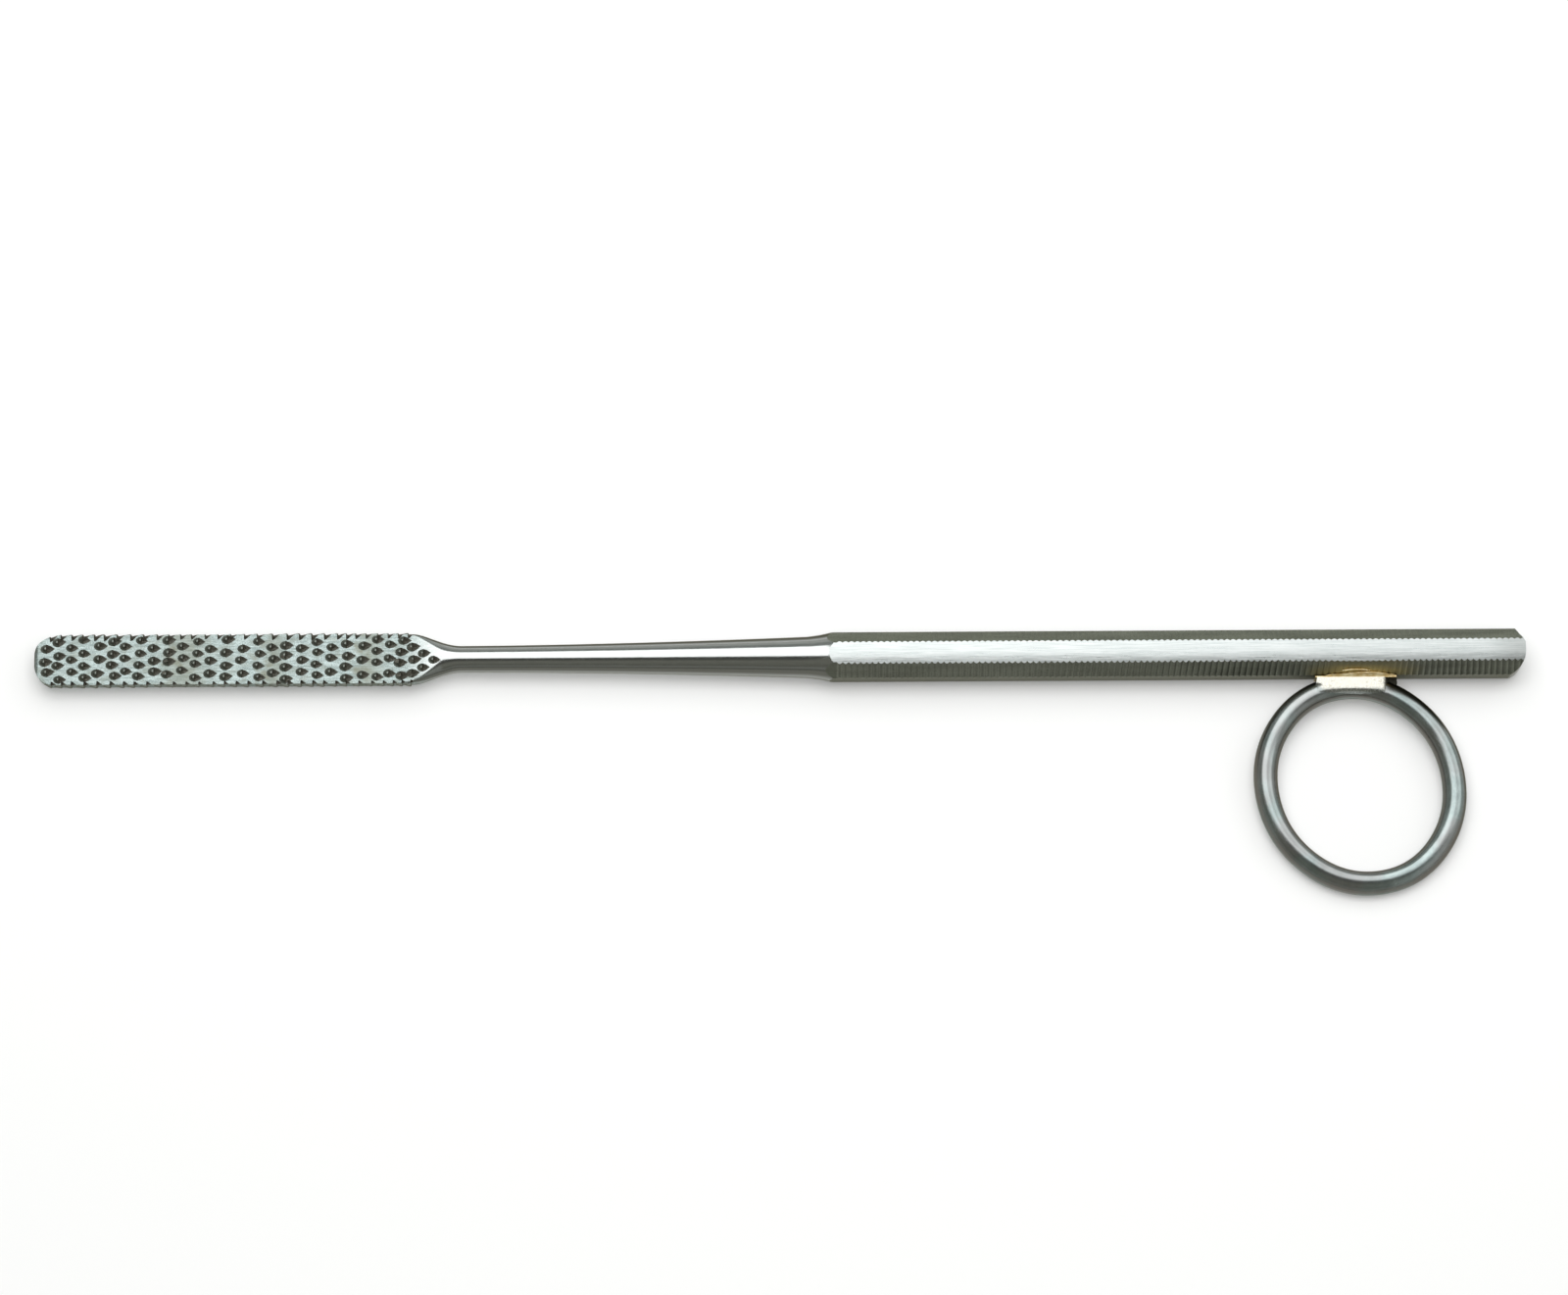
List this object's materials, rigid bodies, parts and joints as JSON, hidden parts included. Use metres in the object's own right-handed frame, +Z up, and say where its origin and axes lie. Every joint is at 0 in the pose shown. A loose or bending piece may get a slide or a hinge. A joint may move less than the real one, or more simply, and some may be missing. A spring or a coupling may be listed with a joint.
{
  "type": "bone file",
  "caption": "Surgical bone file with a toothed flat blade, slender round shank, serrated octagonal handle and a finger ring brazed to the side of the handle.",
  "frame": {"origin": "centre of the overall box at the level of the surface the file lies on", "axes": "X runs along the length from the blade's tip at -X to the handle's end at +X, Y points across the handle away from the finger ring, Z is up; the file is rolled about X so that the ring and an edge of the handle's underside touch the surface"},
  "size_m": [0.2098, 0.0384, 0.007],
  "materials": {
    "file_body": "satin ground steel, dark in the cut teeth",
    "finger_ring": "satin drawn wire, heat tinted at the foot",
    "braze_seam": "smooth brazing metal"
  },
  "bodies": {
    "root": {"file_body": "file_body", "finger_ring": "finger_ring", "braze_seam": "braze_seam"}
  },
  "joints": []
}
